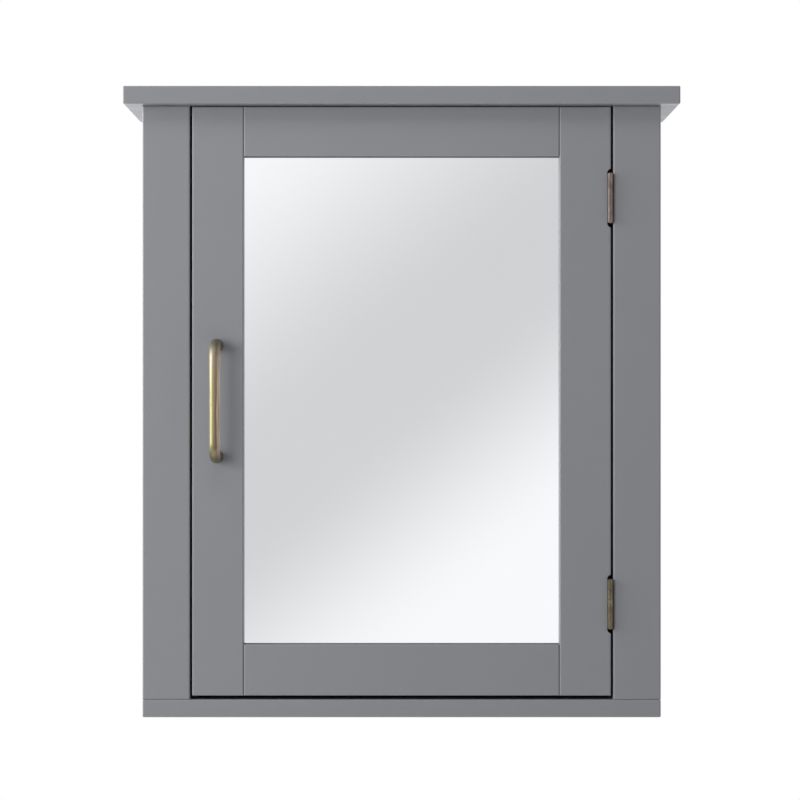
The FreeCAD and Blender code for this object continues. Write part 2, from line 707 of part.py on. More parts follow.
def magnetic_catch():
    """A plastic housing under the cap that holds a magnet between two steel pole plates."""
    front = f"({CATCH_FRONT} + dims.pole_proud)"
    half = "(dims.catch_length / 2)"
    foot = f"({UNDER_CAP} - dims.catch_height)"
    shell = block("catch_shell", (f"{CATCH_X} - {half}", front, foot),
                  ("dims.catch_length", "dims.catch_depth", "dims.catch_height"))
    flange = block("catch_flanges",
                   (f"{CATCH_X} - {half} - dims.catch_flange", front,
                    f"{UNDER_CAP} - dims.catch_flange_thickness"),
                   ("dims.catch_length + 2 * dims.catch_flange", "dims.catch_depth",
                    "dims.catch_flange_thickness"))
    cavity_width = "(dims.catch_length - 2 * dims.catch_wall)"
    cavity_depth = "(dims.catch_depth - dims.catch_wall)"
    cavity_height = "(dims.catch_height - dims.catch_flange_thickness - dims.catch_wall)"
    cavity_left = f"{CATCH_X} - {cavity_width} / 2"
    cavity_foot = f"{foot} + dims.catch_wall"
    cavity = block("catch_cavity", (cavity_left, front, cavity_foot),
                   (cavity_width, cavity_depth, cavity_height))
    holes = [cavity]
    for number, x in enumerate(catch_screw_xs()):
        under_flange = f"{UNDER_CAP} - dims.catch_flange_thickness"
        holes.append(rod(f"catch_hole_{number}", (x, catch_screw_y(), under_flange),
                         WOOD_SCREW_HOLE, "dims.catch_flange_thickness"))
        holes.append(taper(f"catch_seat_{number}", (x, catch_screw_y(), under_flange),
                           WOOD_SCREW_SEAT, "dims.screw_head_height"))
    housing = cut("catch_housing", fused("catch_body", [shell, flange]),
                  fused("catch_openings", holes))
    sub_part(housing, "catch_housing")

    plates = []
    for number, z in enumerate((cavity_foot,
                                f"{cavity_foot} + {cavity_height} - dims.pole_thickness")):
        plates.append(block(f"pole_plate_{number}", (cavity_left, CATCH_FRONT, z),
                            (cavity_width, f"{cavity_depth} + dims.pole_proud",
                             "dims.pole_thickness")))
    poles = doc.addObject("Part::Compound", "catch_pole_plates")
    poles.Links = plates
    sub_part(poles, "catch_pole_plates")
    magnet = block("catch_magnet",
                   (cavity_left, front, f"{cavity_foot} + dims.pole_thickness"),
                   (cavity_width, cavity_depth, f"{cavity_height} - 2 * dims.pole_thickness"))
    sub_part(magnet, "catch_magnet")
    group("catch_screws", wood_screw,
          [((x, catch_screw_y(), f"{UNDER_CAP} - dims.catch_flange_thickness"), "-Z")
           for x in catch_screw_xs()])


def strike_plate():
    plate = board("strike_plate",
                  (f"({CATCH_X} - dims.strike_length / 2)", FACE_BACK,
                   f"({CATCH_MIDDLE_Z} - dims.strike_height / 2 - dims.strike_drop)"),
                  ("dims.strike_length", "dims.strike_thickness", "dims.strike_height"))
    middle = strike_screw_place()
    drill(plate, middle, WOOD_SCREW_HOLE, "dims.strike_thickness", "-Y")
    countersink(plate, middle, WOOD_SCREW_SEAT, "dims.screw_head_height", "-Y")
    group("strike_screw", wood_screw, [(middle, "+Y")])


def strike_screw_place():
    return (CATCH_X, f"({FACE_BACK} + dims.strike_thickness)",
            f"({CATCH_MIDDLE_Z} - dims.strike_drop)")


# ---------------------------------------------------------------- hinges


def leaf_screw_y():
    return f"({HINGE_Y} + dims.leaf_screw_back)"


def leaf_screw_heights(middle):
    return (f"({middle} - dims.leaf_screw_pitch)", middle, f"({middle} + dims.leaf_screw_pitch)")


def barrel_room(body, z):
    """The round relief for a hinge's barrel in the front corner of a board's edge."""
    drill(body, (HINGE_X, HINGE_Y, f"({z} - dims.notch_height / 2)"),
          "dims.knuckle_radius + dims.barrel_room", "dims.notch_height", "+Z")


def hinge_leaf(label, z, toward, knuckles):
    """A leaf plate with its knuckles; toward is -1 for the door's leaf and 1 for the stile's."""
    foot = f"({z} - dims.barrel_length / 2)"
    pitch = "((dims.barrel_length + dims.knuckle_gap) / dims.knuckle_count)"
    outer = "dims.hinge_offset"
    plate_x = (f"({HINGE_X} + {outer} - dims.leaf_thickness)" if toward > 0
               else f"({HINGE_X} - {outer})")
    metal = [block(f"{label}_plate", (plate_x, f"{HINGE_Y} + dims.leaf_start", foot),
                   ("dims.leaf_thickness", "dims.leaf_reach - dims.leaf_start",
                    "dims.barrel_length"))]
    for number in knuckles:
        start = f"({foot} + {number} * {pitch})"
        height = f"({pitch} - dims.knuckle_gap)"
        metal.append(rod(f"{label}_knuckle_{number}", (HINGE_X, HINGE_Y, start),
                         "dims.knuckle_radius", height))
        metal.append(block(f"{label}_tab_{number}",
                           (plate_x, f"{HINGE_Y} + dims.leaf_tab_start", start),
                           ("dims.leaf_thickness", "dims.leaf_start - dims.leaf_tab_start",
                            height)))
    clearance = "dims.pin_clearance" if toward < 0 else "dims.pin_clearance / 5"
    openings = [rod(f"{label}_bore", (HINGE_X, HINGE_Y, foot),
                    f"dims.pin_core_radius + {clearance}", "dims.barrel_length")]
    inner_face = f"({HINGE_X} + {toward} * (dims.hinge_offset - dims.leaf_thickness))"
    direction = "+X" if toward > 0 else "-X"
    for number, screw in enumerate(leaf_screw_heights(z)):
        at = (inner_face, leaf_screw_y(), screw)
        openings.append(rod(f"{label}_hole_{number}", at, WOOD_SCREW_HOLE,
                            "dims.leaf_thickness", direction))
        openings.append(taper(f"{label}_seat_{number}", at, WOOD_SCREW_SEAT,
                              "dims.leaf_thickness", direction))
    leaf = cut(label, fused(f"{label}_metal", metal), fused(f"{label}_openings", openings))
    sub_part(leaf, label)


def hinge_pin(label, z):
    """A pin as long as the barrel, with a domed cap on each end."""
    half = "(dims.barrel_length / 2)"
    core = rod(f"{label}_core", (HINGE_X, HINGE_Y, f"{z} - {half}"), "dims.pin_core_radius",
               "dims.barrel_length")
    pieces = [core]
    for end, direction in (("top", "+Z"), ("foot", "-Z")):
        start = f"{z} + {half}" if end == "top" else f"{z} - {half}"
        pieces.append(taper(f"{label}_{end}", (HINGE_X, HINGE_Y, start),
                            ("dims.pin_cap_radius", "dims.pin_cap_radius * 0.6"),
                            "dims.pin_cap_height", direction))
    sub_part(fused(label, pieces), label)


def hinges():
    stile_knuckles = (0, 2, 4)
    door_knuckles = (1, 3)
    stile_screws = []
    door_screws = []
    reach = "(dims.hinge_offset - dims.leaf_thickness)"
    for name, z in HINGE_HEIGHTS.items():
        hinge_leaf(f"hinge_{name}_stile_leaf", z, 1, stile_knuckles)
        hinge_leaf(f"hinge_{name}_door_leaf", z, -1, door_knuckles)
        hinge_pin(f"hinge_{name}_pin", z)
        for screw in leaf_screw_heights(z):
            stile_screws.append(((f"({HINGE_X} + {reach})", leaf_screw_y(), screw), "-X"))
            door_screws.append(((f"({HINGE_X} - {reach})", leaf_screw_y(), screw), "+X"))
    group("hinge_stile_screws", wood_screw, stile_screws)
    group("hinge_door_screws", wood_screw, door_screws)


# ---------------------------------------------------------------- door


def door_stile(side, sign):
    """An upright of the door, as tall as the door, rebated at the back for the mirror."""
    outer = f"({sign} * {HALF_DOOR})"
    inner = f"({sign} * {HALF_SIGHT})"
    left_edge = outer if sign < 0 else inner
    stile = board(f"door_stile_{side}", (left_edge, FACE, DOOR_FOOT),
                  ("dims.door_member", "dims.board", DOOR_HEIGHT), ease=on_front,
                  ease_size="dims.joint_groove")
    rebate_edge = f"(-{HALF_REBATE})" if sign < 0 else HALF_SIGHT
    mill(stile, (rebate_edge, REBATE_FRONT, REBATE_FOOT),
         ("dims.rebate_width", "dims.rebate_depth", f"{REBATE_TOP} - {REBATE_FOOT}"))
    away = "-X" if sign < 0 else "+X"
    for z in door_dowel_heights():
        drill(stile, (inner, BOARD_MIDDLE_Y, z), DOWEL_HOLE,
              "dims.door_dowel_length / 2 + dims.joint_slack", away)
    for z in side_clip_heights():
        drill_clip_hole(stile, (clip_screw_x(sign), FACE_BACK, z))
    if sign < 0:
        for z in handle_foot_heights():
            drill(stile, (HANDLE_X, FACE_BACK, z), "dims.handle_screw_radius + dims.joint_slack",
                  "dims.board", "-Y")
    else:
        for z in HINGE_HEIGHTS.values():
            hinge_notch(stile, z)


def hinge_notch(stile, z):
    """The round-ended notch in the door's edge that takes a leaf and clears its barrel."""
    floor_x = f"({HINGE_X} - dims.hinge_offset)"
    into_edge = f"({HALF_DOOR} - {floor_x})"
    into_board = "(dims.leaf_reach - dims.hinge_proud + dims.notch_back_room)"
    mill(stile, (floor_x, FACE, f"({z} - dims.notch_height / 2)"),
         (into_edge, into_board, "dims.notch_height"))
    for end in (-1, 1):
        drill(stile, (HALF_DOOR, FACE, f"({z} + {end} * dims.notch_height / 2)"), into_edge,
              into_board, "+Y")
    barrel_room(stile, z)
    for screw in leaf_screw_heights(z):
        drill(stile, (floor_x, leaf_screw_y(), screw), WOOD_SCREW_HOLE,
              "dims.screw_length - dims.leaf_thickness", "-X")


def door_rail(name):
    """A cross member of the door, with a groove line where it meets each stile."""
    top = name == "top"
    foot = SIGHT_TOP if top else DOOR_FOOT
    width = "dims.door_top_rail" if top else "dims.door_member"
    rail = board(f"door_rail_{name}", (f"(-{HALF_SIGHT})", FACE, foot),
                 (f"2 * {HALF_SIGHT}", "dims.board", width), ease=on_front,
                 ease_size="dims.joint_groove")
    rebate_foot = SIGHT_TOP if top else REBATE_FOOT
    mill(rail, (f"(-{HALF_SIGHT})", REBATE_FRONT, rebate_foot),
         (f"2 * {HALF_SIGHT}", "dims.rebate_depth", "dims.rebate_width"))
    heights = door_dowel_heights()[:2] if top else door_dowel_heights()[2:]
    for sign, inward in ((-1, "+X"), (1, "-X")):
        for z in heights:
            drill(rail, (f"({sign} * {HALF_SIGHT})", BOARD_MIDDLE_Y, z), DOWEL_HOLE,
                  "dims.door_dowel_length / 2 + dims.joint_slack", inward)
    screw_z = (f"({REBATE_TOP} + dims.clip_screw_back)" if top
               else f"({REBATE_FOOT} - dims.clip_screw_back)")
    for x in end_clip_xs():
        drill_clip_hole(rail, (x, FACE_BACK, screw_z))
    if top:
        drill(rail, (CATCH_X, FACE_BACK, strike_screw_place()[2]), WOOD_SCREW_HOLE,
              "dims.screw_length - dims.strike_thickness", "-Y")


def door_dowel_heights():
    """The dowels of the top rail, then those of the bottom rail."""
    return (f"({DOOR_TOP} - dims.door_dowel_outer)", f"({DOOR_TOP} - dims.door_dowel_inner)",
            f"({DOOR_FOOT} + dims.door_dowel_inner)", f"({DOOR_FOOT} + dims.door_dowel_outer)")


def door_dowels():
    dowel = dowel_pattern("door_dowel", "dims.dowel_radius", "dims.door_dowel_length")
    group("door_dowels", dowel, [((x, BOARD_MIDDLE_Y, z), "+X")
                                 for x in both_sides(HALF_SIGHT) for z in door_dowel_heights()])


def mirror_and_backing():
    width = f"2 * ({HALF_REBATE} - dims.mirror_slack)"
    height = f"{REBATE_TOP} - {REBATE_FOOT} - 2 * dims.mirror_slack"
    corner = (f"(dims.mirror_slack - {HALF_REBATE})", REBATE_FRONT,
              f"({REBATE_FOOT} + dims.mirror_slack)")
    board("mirror_glass", corner, (width, "dims.mirror_thickness", height))
    board("mirror_backing",
          (corner[0], f"({REBATE_FRONT} + dims.mirror_thickness)", corner[2]),
          (width, "dims.rebate_depth - dims.mirror_thickness", height))


# ---------------------------------------------------------------- clips that hold the mirror


def side_clip_heights():
    return (f"({DOOR_MIDDLE} - dims.clip_spread)", DOOR_MIDDLE,
            f"({DOOR_MIDDLE} + dims.clip_spread)")


def end_clip_xs():
    return both_sides("dims.end_clip_spread")


def clip_screw_x(sign):
    return f"({sign} * ({HALF_REBATE} + dims.clip_screw_back))"


def drill_clip_hole(body, at):
    drill(body, at, "dims.clip_screw_radius + dims.joint_slack",
          "dims.clip_screw_length - dims.clip_thickness", "-Y")


def mirror_clips():
    """Flat tabs screwed to the door's back, each with its nose over the backing board."""
    nose = "(dims.clip_screw_back + dims.clip_overlap)"
    tail = "(dims.clip_length - dims.clip_overlap - dims.clip_screw_back)"
    upright = cut("end_clip",
                  block("end_clip_plate", ("-dims.clip_width / 2", "0", f"-{nose}"),
                        ("dims.clip_width", "dims.clip_thickness", f"{nose} + {tail}")),
                  rod("end_clip_hole", ("0", "0", "0"),
                      "dims.clip_screw_radius + dims.joint_slack", "dims.clip_thickness", "+Y"))
    level = cut("side_clip",
                block("side_clip_plate", (f"-{nose}", "0", "-dims.clip_width / 2"),
                      (f"{nose} + {tail}", "dims.clip_thickness", "dims.clip_width")),
                rod("side_clip_hole", ("0", "0", "0"),
                    "dims.clip_screw_radius + dims.joint_slack", "dims.clip_thickness", "+Y"))
    half_turn_about_y = Rotation(Vector(0, 1, 0), 180)
    clips = []
    screws = []

    def add_clip(pattern, at, reverse):
        clip = doc.addObject("App::Link", f"clip_{len(clips) + 1}")
        clip.LinkedObject = pattern
        put(clip, at)
        if reverse:
            clip.Placement = Placement(clip.Placement.Base, half_turn_about_y)
        clips.append(clip)
        screws.append(((at[0], f"({FACE_BACK} + dims.clip_thickness)", at[2]), "+Y"))

    for sign in HANDS.values():
        for z in side_clip_heights():
            add_clip(level, (clip_screw_x(sign), FACE_BACK, z), reverse=sign < 0)
    for x in end_clip_xs():
        add_clip(upright, (x, FACE_BACK, f"({REBATE_TOP} + dims.clip_screw_back)"), reverse=False)
        add_clip(upright, (x, FACE_BACK, f"({REBATE_FOOT} - dims.clip_screw_back)"), reverse=True)
    compound = doc.addObject("Part::Compound", "mirror_clips")
    compound.Links = clips
    sub_part(compound, "mirror_clips")
    group("mirror_clip_screws", clip_screw, screws)


# ---------------------------------------------------------------- handle


def handle_foot_heights():
    return (f"({DOOR_MIDDLE} - dims.handle_centres / 2)",
            f"({DOOR_MIDDLE} + dims.handle_centres / 2)")


def quarter_circle(x, y, radius, first_quarter):
    """A quarter of a circle that starts after a number of quarter turns from local +X."""
    circle = Part.Circle(Vector(x, y, 0), DIRECTIONS["+Z"], radius)
    start = first_quarter * math.pi / 2
    return Part.ArcOfCircle(circle, start, start + math.pi / 2)


def handle():
    """A round bar swept along a D, with a flared collar at each foot and a tapped hole in it.

    The body's own origin is on the door's face, midway between the feet.
    """
    body = doc.addObject("PartDesign::Body", "handle")
    section = sketch_on(body, "XZ_Plane", "handle_section")
    section.addGeometry(Part.Circle(Vector(0, -1, 0), DIRECTIONS["+Z"], 1), False)
    measured(section, "Radius", 0, to="dims.handle_rod_radius")
    measured(section, "DistanceY", 0, 3, -1, 1, to="dims.handle_centres / 2")
    section.addConstraint(Sketcher.Constraint("PointOnObject", 0, 3, -2))

    # on the YZ plane the sketch's X is the depth and its Y is the height
    path = sketch_on(body, "YZ_Plane", "handle_path")
    reach = float(path.evalExpression("dims.handle_reach"))
    half = float(path.evalExpression("dims.handle_centres / 2"))
    bend = float(path.evalExpression("dims.handle_bend"))
    straight = Part.LineSegment
    path.addGeometry(straight(Vector(0, -half, 0), Vector(bend - reach, -half, 0)), False)
    path.addGeometry(quarter_circle(bend - reach, bend - half, bend, first_quarter=2), False)
    path.addGeometry(straight(Vector(-reach, bend - half, 0), Vector(-reach, half - bend, 0)),
                     False)
    path.addGeometry(quarter_circle(bend - reach, half - bend, bend, first_quarter=1), False)
    path.addGeometry(straight(Vector(bend - reach, half, 0), Vector(0, half, 0)), False)
    lower_leg, lower_bend, grip, upper_bend, upper_leg = range(5)
    for leg in (lower_leg, upper_leg):
        path.addConstraint(Sketcher.Constraint("Horizontal", leg))
    path.addConstraint(Sketcher.Constraint("Vertical", grip))
    path.addConstraint(Sketcher.Constraint("Tangent", lower_leg, 2, lower_bend, 2))
    path.addConstraint(Sketcher.Constraint("Tangent", lower_bend, 1, grip, 1))
    path.addConstraint(Sketcher.Constraint("Tangent", grip, 2, upper_bend, 2))
    path.addConstraint(Sketcher.Constraint("Tangent", upper_bend, 1, upper_leg, 1))
    path.addConstraint(Sketcher.Constraint("PointOnObject", lower_leg, 1, -2))
    path.addConstraint(Sketcher.Constraint("PointOnObject", upper_leg, 2, -2))
    measured(path, "Radius", lower_bend, to="dims.handle_bend")
    measured(path, "Radius", upper_bend, to="dims.handle_bend")
    measured(path, "DistanceX", grip, 1, -1, 1, to="dims.handle_reach")
    measured(path, "DistanceY", lower_leg, 1, -1, 1, to="dims.handle_centres / 2")
    measured(path, "DistanceY", -1, 1, upper_leg, 2, to="dims.handle_centres / 2")
    doc.recompute()

    bar = body.newObject("PartDesign::AdditivePipe", "handle_bar")
    bar.Profile = section
    bar.Spine = path
    put(body, (HANDLE_X, FACE, DOOR_MIDDLE))
    doc.recompute()
    for end in (-1, 1):
        at = ("0", "0", f"{end} * dims.handle_centres / 2")
        collar = body.newObject("PartDesign::AdditiveCone", "handle_foot")
        size(collar, Radius1="dims.handle_foot_radius", Radius2="dims.handle_rod_radius",
             Height="dims.handle_foot_height")
        put(collar, at, "-Y")
        tap = body.newObject("PartDesign::SubtractiveCylinder", "handle_tap")
        size(tap, Radius="dims.handle_screw_radius + dims.joint_slack",
             Height="dims.handle_tap_depth")
        put(tap, at, "-Y")
    sub_part(body, "handle")
    group("handle_screws", handle_screw, [((HANDLE_X, FACE_BACK, z), "+Y")
                                          for z in handle_foot_heights()])


# ---------------------------------------------------------------- build, check and write

top_cap()
bottom_board()
for side, sign in HANDS.items():
    side_panel(side, sign)
    face_stile(side, sign)
    door_stile(side, sign)
back_panel()
hanging_rail()
for shelf_name, pin_height in SHELF_HEIGHTS.items():
    shelf(shelf_name, pin_height)
shelf_pins()
carcass_fasteners()
cam_joints()
magnetic_catch()
strike_plate()
hinges()
door_rail("top")
door_rail("bottom")
door_dowels()
mirror_and_backing()
mirror_clips()
handle()
doc.recompute()

for item in doc.Objects:
    if "Invalid" in item.State or "Error" in item.State:
        raise RuntimeError(f"{item.Name} ({item.Label}) failed: {item.State}")
for piece in sub_parts:
    if piece.Shape.isNull() or not piece.Shape.isValid():
        raise RuntimeError(f"{piece.Label} has a null or invalid shape")

os.makedirs("parts", exist_ok=True)
for piece in sub_parts:
    piece.Shape.exportStep(f"parts/{piece.Label}.step")
print(len(sub_parts), "sub-parts written")
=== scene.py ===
"""Looks of the hanging wall cabinet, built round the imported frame. Metres; -Y is the front."""
import json
import math

import bpy
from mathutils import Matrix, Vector


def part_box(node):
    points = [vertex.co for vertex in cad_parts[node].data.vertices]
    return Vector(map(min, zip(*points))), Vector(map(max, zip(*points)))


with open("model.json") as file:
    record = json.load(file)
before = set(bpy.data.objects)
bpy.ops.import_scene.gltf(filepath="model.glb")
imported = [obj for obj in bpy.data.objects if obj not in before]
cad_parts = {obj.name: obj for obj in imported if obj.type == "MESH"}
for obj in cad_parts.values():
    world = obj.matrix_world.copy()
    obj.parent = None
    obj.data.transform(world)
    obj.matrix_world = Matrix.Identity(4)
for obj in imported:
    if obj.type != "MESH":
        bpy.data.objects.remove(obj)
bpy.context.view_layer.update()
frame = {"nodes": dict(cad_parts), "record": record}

nodes = frame["nodes"]
scene = bpy.context.scene

# ---------------------------------------------------------------- places taken from the frame

cap_low, cap_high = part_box("top_cap")
glass_low, glass_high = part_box("mirror_glass")
door_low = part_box("door_stile_left")[0]
foot_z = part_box("bottom_board")[0].z
middle_z = (cap_high.z + foot_z) / 2
mirror_front = glass_low.y
mirror_middle = (glass_low + glass_high) / 2

# ---------------------------------------------------------------- helpers: shader nodes


class Shader:
    """A material with short calls for the nodes that it needs."""

    def __init__(self, name):
        self.material = bpy.data.materials.new(name)
        self.material.use_nodes = True
        self.tree = self.material.node_tree
        self.surface = self.tree.nodes["Principled BSDF"]
        self.place = self.node("ShaderNodeTexCoord").outputs["Object"]

    def node(self, kind, **settings):
        made = self.tree.nodes.new(kind)
        for name, value in settings.items():
            setattr(made, name, value)
        return made

    def feed(self, socket, value):
        """Link a value that is an output, or set one that is a number or colour."""
        if isinstance(value, bpy.types.NodeSocket):
            self.tree.links.new(value, socket)
        else:
            socket.default_value = value

    def scaled(self, factors, place=None):
        """The place stretched by a factor on each axis."""
        mapping = self.node("ShaderNodeMapping")
        self.feed(mapping.inputs["Vector"], place or self.place)
        mapping.inputs["Scale"].default_value = factors
        return mapping.outputs["Vector"]

    def noise(self, scale, detail=2.0, roughness=0.5, distortion=0.0, place=None):
        made = self.node("ShaderNodeTexNoise")
        self.feed(made.inputs["Vector"], place or self.place)
        made.inputs["Scale"].default_value = scale
        made.inputs["Detail"].default_value = detail
        made.inputs["Roughness"].default_value = roughness
        made.inputs["Distortion"].default_value = distortion
        return made.outputs["Fac"]

    def ramp(self, value, stops):
        """A colour ramp whose stops are (position, colour), with a colour of three numbers."""
        made = self.node("ShaderNodeValToRGB")
        self.feed(made.inputs["Fac"], value)
        points = made.color_ramp.elements
        while len(points) < len(stops):
            points.new(0.5)
        for point, (position, colour) in zip(points, stops):
            point.position = position
            point.color = (*colour, 1.0)
        return made.outputs["Color"]

    def span(self, value, low, high, from_low=0.0, from_high=1.0, curve="LINEAR"):
        """A value carried from one range to another, held at the ends."""
        made = self.node("ShaderNodeMapRange", interpolation_type=curve)
        self.feed(made.inputs["Value"], value)
        made.inputs["From Min"].default_value = from_low
        made.inputs["From Max"].default_value = from_high
        made.inputs["To Min"].default_value = low
        made.inputs["To Max"].default_value = high
        return made.outputs["Result"]

    def maths(self, operation, first, second=0.0):
        made = self.node("ShaderNodeMath", operation=operation)
        self.feed(made.inputs[0], first)
        self.feed(made.inputs[1], second)
        return made.outputs[0]

    def mixed(self, factor, first, second, blend="MIX"):
        made = self.node("ShaderNodeMix", data_type="RGBA", blend_type=blend)
        self.feed(made.inputs[0], factor)
        for socket, value in ((made.inputs[6], first), (made.inputs[7], second)):
            self.feed(socket, value if isinstance(value, bpy.types.NodeSocket) else (*value, 1.0))
        return made.outputs[2]

    def axis(self, letter, place=None):
        """One coordinate of the place."""
        made = self.node("ShaderNodeSeparateXYZ")
        self.feed(made.inputs[0], place or self.place)
        return made.outputs[letter]

    def bump(self, height, distance, strength=1.0, over=None):
        made = self.node("ShaderNodeBump")
        self.feed(made.inputs["Height"], height)
        made.inputs["Distance"].default_value = distance
        made.inputs["Strength"].default_value = strength
        if over:
            self.feed(made.inputs["Normal"], over)
        return made.outputs["Normal"]

    def finish(self, colour, roughness, normal=None, metallic=0.0):
        self.feed(self.surface.inputs["Base Color"], colour)
        self.feed(self.surface.inputs["Roughness"], roughness)
        self.surface.inputs["Metallic"].default_value = metallic
        if normal:
            self.feed(self.surface.inputs["Normal"], normal)
        return self.material


# ---------------------------------------------------------------- materials

PAINT = (0.262, 0.266, 0.283)
RAW_BACK = -0.0012  # behind this depth the back panel shows its raw side
BARREL_RADIUS = 0.003

# the handle's brass, in order from its left side round to its right; partly painted light: the pale
# straw is a painted highlight, the darker stops painted shade lines, and the bright rose band a
# painted reflection
STRAW = (0.46, 0.44, 0.33)
OLD_GOLD = (0.195, 0.18, 0.098)
GOLD = (0.48, 0.45, 0.215)
BRONZE = (0.62, 0.52, 0.30)
RUSSET = (0.54, 0.39, 0.245)
ROSE = (0.92, 0.69, 0.55)
DULL_ROSE = (0.34, 0.27, 0.22)

# patina and wear over the brass; the pink-white is a painted highlight on the bar's upper part, and
# the dark olive at its bends and feet is partly patina, partly painted shade
UMBER = (0.20, 0.145, 0.09)
PATINA = (0.30, 0.255, 0.15)
PAINTED_TOP_HIGHLIGHT = (0.56, 0.48, 0.40)
DARK_OLIVE = (0.14, 0.12, 0.08)
COPPERY_MOTTLE = [(0.28, (0.16, 0.115, 0.095)), (0.5, (0.31, 0.235, 0.205)),
                  (0.74, (0.46, 0.38, 0.345))]
OLIVE_MOTTLE = [(0.28, (0.12, 0.095, 0.055)), (0.5, (0.26, 0.215, 0.14)),
                (0.74, (0.42, 0.36, 0.26))]


def shade(colour, factor):
    return tuple(part * factor for part in colour)


def grey(tone):
    return (tone, tone, tone)


def grey_paint(name="grey_paint", lip_painted_shade=False):
    """Sprayed satin paint: faint orange peel, slow drift in tone, and a slightly uneven sheen.
    With the lip option set, the edge round the mirror gets painted shade, darker for the shadow in
    that recess, and is made matt."""
    skin = Shader(name)
    drift = skin.noise(3.0, detail=2.0)
    colour = skin.ramp(drift, [(0.3, shade(PAINT, 0.985)), (0.7, shade(PAINT, 1.015))])
    sheen = skin.span(skin.noise(40.0, detail=3.0), 0.36, 0.42, 0.3, 0.7)
    if lip_painted_shade:
        depth = skin.axis("Y")
        face_edge = door_low.y + 0.0006  # past the rounding of the front edge
        glass_edge = mirror_front + 0.0005
        past_face = skin.maths("GREATER_THAN", depth, face_edge)
        before_glass = skin.maths("LESS_THAN", depth, glass_edge)
        lip_shade_mask = skin.maths("MULTIPLY", past_face, before_glass)
        # painted shade: the lip between the door's face and the glass is darkened to stand in for
        # the shadow in that recess; the added roughness below makes it matt
        colour = skin.mixed(lip_shade_mask, colour, shade(PAINT, 0.45))
        sheen = skin.maths("ADD", sheen, skin.maths("MULTIPLY", lip_shade_mask, 0.4))
    peel = skin.bump(skin.noise(420.0, detail=2.0), 0.00004, 0.6)
    fine = skin.bump(skin.noise(2400.0, detail=1.0), 0.00001, 0.4, over=peel)
    return skin.finish(colour, sheen, fine)


def painted_back():
    """Thin hardboard: painted on the inside, and raw with a fine screen pattern on the back."""
    skin = Shader("painted_back")
    drift = skin.noise(3.0, detail=2.0)
    paint = skin.ramp(drift, [(0.3, shade(PAINT, 0.98)), (0.7, shade(PAINT, 1.01))])
    fibres = skin.noise(160.0, detail=6.0, roughness=0.7, place=skin.scaled((1.0, 1.0, 0.45)))
    raw = skin.ramp(fibres, [(0.25, (0.235, 0.15, 0.085)), (0.5, (0.29, 0.19, 0.11)),
                             (0.75, (0.345, 0.24, 0.145))])
    is_back = skin.maths("GREATER_THAN", skin.axis("Y"), RAW_BACK)
    colour = skin.mixed(is_back, paint, raw)
    roughness = skin.mixed(is_back, grey(0.4), grey(0.75))
    screen = skin.node("ShaderNodeTexVoronoi")
    skin.feed(screen.inputs["Vector"], skin.place)
    screen.inputs["Scale"].default_value = 520.0
    screen.inputs["Randomness"].default_value = 0.25
    weave = skin.maths("MULTIPLY", screen.outputs["Distance"], is_back)
    return skin.finish(colour, roughness, skin.bump(weave, 0.00015, 0.7))


def hardboard():
    """Smooth brown fibre board."""
    skin = Shader("hardboard")
    fibres = skin.noise(200.0, detail=7.0, roughness=0.72)
    colour = skin.ramp(fibres, [(0.25, (0.22, 0.14, 0.08)), (0.55, (0.33, 0.225, 0.13)),
                                (0.8, (0.42, 0.31, 0.2))])
    return skin.finish(colour, skin.span(fibres, 0.5, 0.7), skin.bump(fibres, 0.00005, 0.5))


def mirror_silver():
    """Flat silvered glass with the faintest haze of dust."""
    skin = Shader("mirror_silver")
    haze = skin.span(skin.noise(14.0, detail=4.0), 0.0, 0.012, 0.35, 0.75)
    tint = skin.ramp(skin.noise(5.0), [(0.3, (0.945, 0.955, 0.955)), (0.7, (0.955, 0.965, 0.962))])
    skin.surface.inputs["IOR"].default_value = 1.5
    return skin.finish(tint, haze, metallic=1.0)


def brass_grain(skin, mottle_scale):
    """Streaks drawn along Z, a mottled patina, and the fine relief of the two."""
    streaks = skin.noise(420.0, detail=3.0, place=skin.scaled((1.0, 1.0, 0.035)))
    mottle = skin.noise(mottle_scale, detail=5.0, roughness=0.62, distortion=0.6,
                        place=skin.scaled((1.0, 1.0, 0.35)))
    lines = skin.bump(streaks, 0.00003, 0.5)
    return streaks, mottle, skin.bump(mottle, 0.00006, 0.4, over=lines)


def hinge_brass():
    """Antiqued brass plate: streaks over a mottled patina that is coppery on the upper hinge and
    olive on the lower one. Across the barrel, the bright bands are painted highlights and its dark
    sides painted shade."""
    skin = Shader("hinge_brass")
    streaks, mottle, relief = brass_grain(skin, 150.0)
    is_upper = skin.maths("GREATER_THAN", skin.axis("Z"), middle_z)
    body = skin.mixed(is_upper, skin.ramp(mottle, OLIVE_MOTTLE), skin.ramp(mottle, COPPERY_MOTTLE))
    grimy = skin.mixed(skin.span(streaks, 0.0, 0.45, 0.42, 0.7), body, UMBER)
    pin_low, pin_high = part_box("hinge_upper_pin")
    barrel_x = (pin_low.x + pin_high.x) / 2
    across = skin.span(skin.axis("X"), 0.0, 1.0, barrel_x - BARREL_RADIUS, barrel_x + BARREL_RADIUS)
    # painted light across the barrel: painted shade at its sides and painted highlights in the two
    # bright bands
    barrel_painted_light = skin.ramp(across, [(0.0, grey(0.3)), (0.22, grey(0.5)), (0.36, grey(0.95)),
                               (0.5, grey(0.85)), (0.66, grey(1.5)), (0.82, grey(0.7)),
                               (1.0, grey(0.3))])
    colour = skin.mixed(1.0, grimy, barrel_painted_light, blend="MULTIPLY")
    return skin.finish(colour, skin.span(mottle, 0.46, 0.34, 0.3, 0.7), relief, metallic=0.45)


